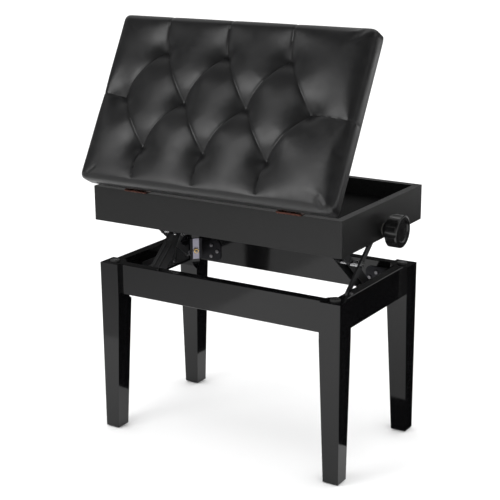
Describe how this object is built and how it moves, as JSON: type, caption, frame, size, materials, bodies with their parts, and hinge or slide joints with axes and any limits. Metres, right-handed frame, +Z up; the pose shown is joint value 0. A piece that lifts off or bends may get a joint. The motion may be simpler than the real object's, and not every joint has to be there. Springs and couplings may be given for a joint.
{
  "type": "adjustable piano bench",
  "caption": "Adjustable piano bench: tapered square legs, scissor lift with side knobs, storage tray under a padded tufted lid hinged along one long edge.",
  "frame": {"origin": "on the floor, at the middle of the four legs", "axes": "+X to the right along the seat's length, +Y to the rear, away from the lid's hinge edge, +Z up"},
  "size_m": [0.642, 0.3807, 0.8408],
  "materials": {
    "gloss_black_lacquer": "black gloss lacquer over wood",
    "satin_black_board": "black satin textured board",
    "box_floor_board": "black faced board",
    "zinc_plated_steel": "zinc plated, faint iridescence",
    "brass_plated_steel": "yellow plated hexagon nut",
    "black_painted_steel": "black powder coat",
    "bright_steel": "turned steel",
    "bronze": "machined bronze",
    "white_nylon": "moulded nylon",
    "gear_steel": "cut steel, oiled",
    "black_plastic": "moulded black plastic",
    "copper_plated_steel": "copper plated steel",
    "plywood": "bare plywood",
    "black_leatherette": "black leather-look cover with a fine grain",
    "black_dust_cloth": "black non-woven cloth",
    "black_rubber": "black rubber"
  },
  "bodies": {
    "base": {"leg_front_left": "gloss_black_lacquer", "leg_front_right": "gloss_black_lacquer", "leg_rear_left": "gloss_black_lacquer", "leg_rear_right": "gloss_black_lacquer", "rail_front": "gloss_black_lacquer", "rail_rear": "gloss_black_lacquer", "rail_left": "gloss_black_lacquer", "rail_right": "gloss_black_lacquer", "corner_braces": "zinc_plated_steel", "hanger_bolts": "zinc_plated_steel", "hanger_washers": "zinc_plated_steel", "hanger_nuts": "brass_plated_steel", "brace_screws": "zinc_plated_steel", "foot_pads": "black_rubber", "leg_bumpers": "black_rubber", "leg_bumper_screws": "zinc_plated_steel", "lower_bracket_right": "black_painted_steel", "lower_bracket_left": "black_painted_steel", "lower_bracket_screws": "zinc_plated_steel", "lower_pivot_pins": "bright_steel"},
    "bar_right": {"lift_bar_right": "black_painted_steel", "centre_pin_right": "bright_steel"},
    "plate_right": {"lift_plate_right": "black_painted_steel", "slide_roller_right": "white_nylon"},
    "seat_box": {"box_panel_front": "satin_black_board", "box_panel_rear": "satin_black_board", "box_panel_left": "satin_black_board", "box_panel_right": "satin_black_board", "box_floor": "box_floor_board", "upper_bracket_right": "black_painted_steel", "upper_bracket_left": "black_painted_steel", "upper_bracket_screws": "zinc_plated_steel", "upper_pivot_pins": "bright_steel", "screw_bearings": "white_nylon", "shaft_bushes": "white_nylon", "hinge_fixed_leaves": "copper_plated_steel", "hinge_fixed_screws": "copper_plated_steel", "hinge_pins": "copper_plated_steel"},
    "bar_left": {"lift_bar_left": "black_painted_steel", "centre_pin_left": "bright_steel"},
    "plate_left": {"lift_plate_left": "black_painted_steel", "slide_roller_left": "white_nylon"},
    "nut_right": {"trunnion_nut_right": "bronze"},
    "nut_left": {"trunnion_nut_left": "bronze"},
    "drive": {"drive_shaft": "bright_steel", "shaft_gears": "gear_steel", "knob_right": "black_plastic", "knob_left": "black_plastic"},
    "screw_right": {"lead_screw_right": "bright_steel", "screw_gear_right": "gear_steel"},
    "screw_left": {"lead_screw_left": "bright_steel", "screw_gear_left": "gear_steel"},
    "lid": {"lid_board": "plywood", "seat_cushion": "black_leatherette", "lid_dust_cover": "black_dust_cloth", "dust_cover_staples": "zinc_plated_steel", "lid_bumpers": "black_rubber", "hinge_moving_leaves": "copper_plated_steel", "hinge_moving_screws": "copper_plated_steel"}
  },
  "joints": [
    {"name": "lift_bar_right_pivot", "type": "hinge", "parent": "base", "child": "bar_right", "pos_m": [0.236, -0.09, 0.322], "axis": [1, 0, 0], "range_deg": [-25.6, 2.8]},
    {"name": "centre_pivot_right", "type": "hinge", "parent": "bar_right", "child": "plate_right", "pos_m": [0.236, -0.00658, 0.392], "axis": [1, 0, 0], "range_deg": [-5.8, 51.4]},
    {"name": "seat_box_pivot", "type": "hinge", "parent": "plate_right", "child": "seat_box", "pos_m": [0.1965, -0.09, 0.462], "axis": [1, 0, 0], "range_deg": [-25.7, 2.9]},
    {"name": "lift_bar_left_pivot", "type": "hinge", "parent": "base", "child": "bar_left", "pos_m": [-0.236, 0.09, 0.322], "axis": [1, 0, 0], "range_deg": [-2.9, 25.7]},
    {"name": "centre_pivot_left", "type": "hinge", "parent": "bar_left", "child": "plate_left", "pos_m": [-0.236, 0.00658, 0.392], "axis": [1, 0, 0], "range_deg": [-51.4, 5.8]},
    {"name": "nut_pivot_right", "type": "hinge", "parent": "bar_right", "child": "nut_right", "pos_m": [0.236, 0.07685, 0.462], "axis": [1, 0, 0], "range_deg": [-2.9, 25.7]},
    {"name": "nut_pivot_left", "type": "hinge", "parent": "bar_left", "child": "nut_left", "pos_m": [-0.236, -0.07685, 0.462], "axis": [1, 0, 0], "range_deg": [-25.7, 2.9]},
    {"name": "knob_turn", "type": "hinge", "parent": "seat_box", "child": "drive", "pos_m": [0, 0, 0.4675], "axis": [1, 0, 0], "range_deg": [-452, 4100]},
    {"name": "lead_screw_right_turn", "type": "hinge", "parent": "seat_box", "child": "screw_right", "pos_m": [0.2265, 0.05, 0.4675], "axis": [0, 1, 0], "range_deg": [-4100, 452]},
    {"name": "lead_screw_left_turn", "type": "hinge", "parent": "seat_box", "child": "screw_left", "pos_m": [-0.2265, -0.05, 0.4675], "axis": [0, 1, 0], "range_deg": [-4100, 452]},
    {"name": "lid_hinge", "type": "hinge", "parent": "seat_box", "child": "lid", "pos_m": [0, -0.171, 0.521], "axis": [1, 0, 0], "range_deg": [-61, 14]}
  ],
  "couplings": [
    {"joint": "centre_pivot_right", "follows": "lift_bar_right_pivot", "ratio": -2},
    {"joint": "seat_box_pivot", "follows": "lift_bar_right_pivot", "ratio": 1},
    {"joint": "lift_bar_left_pivot", "follows": "lift_bar_right_pivot", "ratio": -1},
    {"joint": "centre_pivot_left", "follows": "lift_bar_right_pivot", "ratio": 2},
    {"joint": "nut_pivot_right", "follows": "lift_bar_right_pivot", "ratio": -1},
    {"joint": "nut_pivot_left", "follows": "lift_bar_right_pivot", "ratio": 1},
    {"joint": "knob_turn", "follows": "lift_bar_right_pivot", "ratio": -160},
    {"joint": "lead_screw_right_turn", "follows": "lift_bar_right_pivot", "ratio": 160},
    {"joint": "lead_screw_left_turn", "follows": "lift_bar_right_pivot", "ratio": 160}
  ]
}
